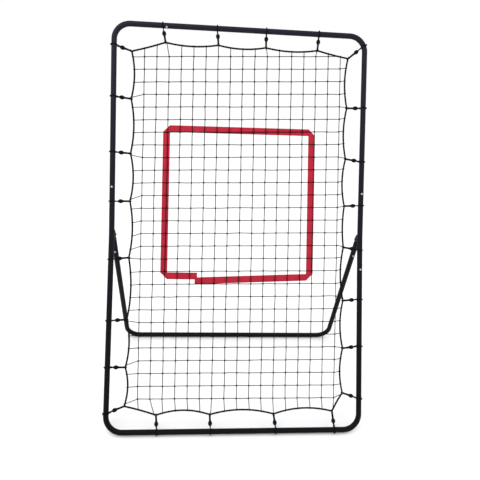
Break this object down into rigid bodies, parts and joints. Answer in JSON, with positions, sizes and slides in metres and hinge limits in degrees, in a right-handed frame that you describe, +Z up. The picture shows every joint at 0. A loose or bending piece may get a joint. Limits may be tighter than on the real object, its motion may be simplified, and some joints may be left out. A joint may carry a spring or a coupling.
{
  "type": "pitching target net",
  "caption": "Free-standing pitching target: a leaning black tube frame, a net hung in it on elastic ties, a red strike zone band and a folding rear leg.",
  "frame": {"origin": "on the floor, under the middle of the object's bounding box", "axes": "+Z up, -Y towards the pitcher (the front), +X to the right as the pitcher sees it"},
  "size_m": [1.0737, 0.9228, 1.431],
  "materials": {
    "tube_coat": "satin black powder coat",
    "black_steel": "black coated plate and hardware",
    "zinc_steel": "zinc-plated spring steel",
    "black_elastic": "braided elastic cord, matt",
    "black_rope": "braided cord, matt",
    "black_twine": "knotted twine, matt",
    "red_webbing": "woven webbing, slight sheen"
  },
  "bodies": {
    "frame": {"top_bar": "tube_coat", "bottom_bar": "tube_coat", "elbow_top_left": "tube_coat", "elbow_top_right": "tube_coat", "elbow_bottom_left": "tube_coat", "elbow_bottom_right": "tube_coat", "side_tube_upper_left": "tube_coat", "side_tube_upper_right": "tube_coat", "side_tube_lower_left": "tube_coat", "side_tube_lower_right": "tube_coat", "pivot_tube_left": "tube_coat", "pivot_tube_right": "tube_coat", "pivot_bracket_left": "black_steel", "pivot_bracket_right": "black_steel", "pivot_bolt_left": "black_steel", "pivot_bolt_right": "black_steel", "pivot_nut_left": "black_steel", "pivot_nut_right": "black_steel", "border_rope": "black_rope", "net_mesh": "black_twine", "strike_zone_tape": "red_webbing", "tie_left_1": "black_elastic", "tie_left_2": "black_elastic", "tie_left_3": "black_elastic", "tie_left_4": "black_elastic", "tie_left_5": "black_elastic", "tie_left_6": "black_elastic", "tie_left_7": "black_elastic", "tie_left_8": "black_elastic", "tie_right_1": "black_elastic", "tie_right_2": "black_elastic", "tie_right_3": "black_elastic", "tie_right_4": "black_elastic", "tie_right_5": "black_elastic", "tie_right_6": "black_elastic", "tie_right_7": "black_elastic", "tie_right_8": "black_elastic", "tie_top_1": "black_elastic", "tie_top_2": "black_elastic", "tie_top_3": "black_elastic", "tie_top_4": "black_elastic", "tie_bottom_1": "black_elastic", "tie_bottom_2": "black_elastic", "tie_bottom_3": "black_elastic", "tie_bottom_4": "black_elastic"},
    "rear_leg": {"leg_stub_left": "tube_coat", "leg_stub_right": "tube_coat", "leg_arm_left": "tube_coat", "leg_arm_right": "tube_coat", "leg_foot_bar": "tube_coat"},
    "snap_clip_top_left_body": {"snap_clip_top_left": "zinc_steel"},
    "snap_clip_bottom_left_body": {"snap_clip_bottom_left": "zinc_steel"},
    "snap_clip_upper_left_body": {"snap_clip_upper_left": "zinc_steel"},
    "snap_clip_lower_left_body": {"snap_clip_lower_left": "zinc_steel"},
    "snap_clip_leg_left_body": {"snap_clip_leg_left": "zinc_steel"},
    "snap_clip_top_right_body": {"snap_clip_top_right": "zinc_steel"},
    "snap_clip_bottom_right_body": {"snap_clip_bottom_right": "zinc_steel"},
    "snap_clip_upper_right_body": {"snap_clip_upper_right": "zinc_steel"},
    "snap_clip_lower_right_body": {"snap_clip_lower_right": "zinc_steel"},
    "snap_clip_leg_right_body": {"snap_clip_leg_right": "zinc_steel"}
  },
  "joints": [
    {"name": "leg_fold", "type": "hinge", "parent": "frame", "child": "rear_leg", "pos_m": [0, 0.00918, 0.67409], "axis": [-1, 0, 0], "range_deg": [0, 42]},
    {"name": "press_clip_top_left", "type": "slide", "parent": "frame", "child": "snap_clip_top_left_body", "axis": [0, 0.9537, 0.3007], "range_m": [0, 0.0045], "stiffness_N_per_m": 1500},
    {"name": "press_clip_bottom_left", "type": "slide", "parent": "frame", "child": "snap_clip_bottom_left_body", "axis": [0, -0.8434, 0.5373], "range_m": [0, 0.0045], "stiffness_N_per_m": 1500},
    {"name": "press_clip_upper_left", "type": "slide", "parent": "frame", "child": "snap_clip_upper_left_body", "axis": [0, 0.8434, -0.5373], "range_m": [0, 0.0045], "stiffness_N_per_m": 1500},
    {"name": "press_clip_lower_left", "type": "slide", "parent": "frame", "child": "snap_clip_lower_left_body", "axis": [0, -0.8434, 0.5373], "range_m": [0, 0.0045], "stiffness_N_per_m": 1500},
    {"name": "press_clip_leg_left", "type": "slide", "parent": "rear_leg", "child": "snap_clip_leg_left_body", "axis": [0, 0.9854, 0.17], "range_m": [0, 0.0045], "stiffness_N_per_m": 1500},
    {"name": "press_clip_top_right", "type": "slide", "parent": "frame", "child": "snap_clip_top_right_body", "axis": [0, -0.8434, 0.5373], "range_m": [0, 0.0045], "stiffness_N_per_m": 1500},
    {"name": "press_clip_bottom_right", "type": "slide", "parent": "frame", "child": "snap_clip_bottom_right_body", "axis": [0, -0.8434, 0.5373], "range_m": [0, 0.0045], "stiffness_N_per_m": 1500},
    {"name": "press_clip_upper_right", "type": "slide", "parent": "frame", "child": "snap_clip_upper_right_body", "axis": [0, 0.8434, -0.5373], "range_m": [0, 0.0045], "stiffness_N_per_m": 1500},
    {"name": "press_clip_lower_right", "type": "slide", "parent": "frame", "child": "snap_clip_lower_right_body", "axis": [0, 0.8434, -0.5373], "range_m": [0, 0.0045], "stiffness_N_per_m": 1500},
    {"name": "press_clip_leg_right", "type": "slide", "parent": "rear_leg", "child": "snap_clip_leg_right_body", "axis": [0, 0.9854, 0.17], "range_m": [0, 0.0045], "stiffness_N_per_m": 1500}
  ]
}
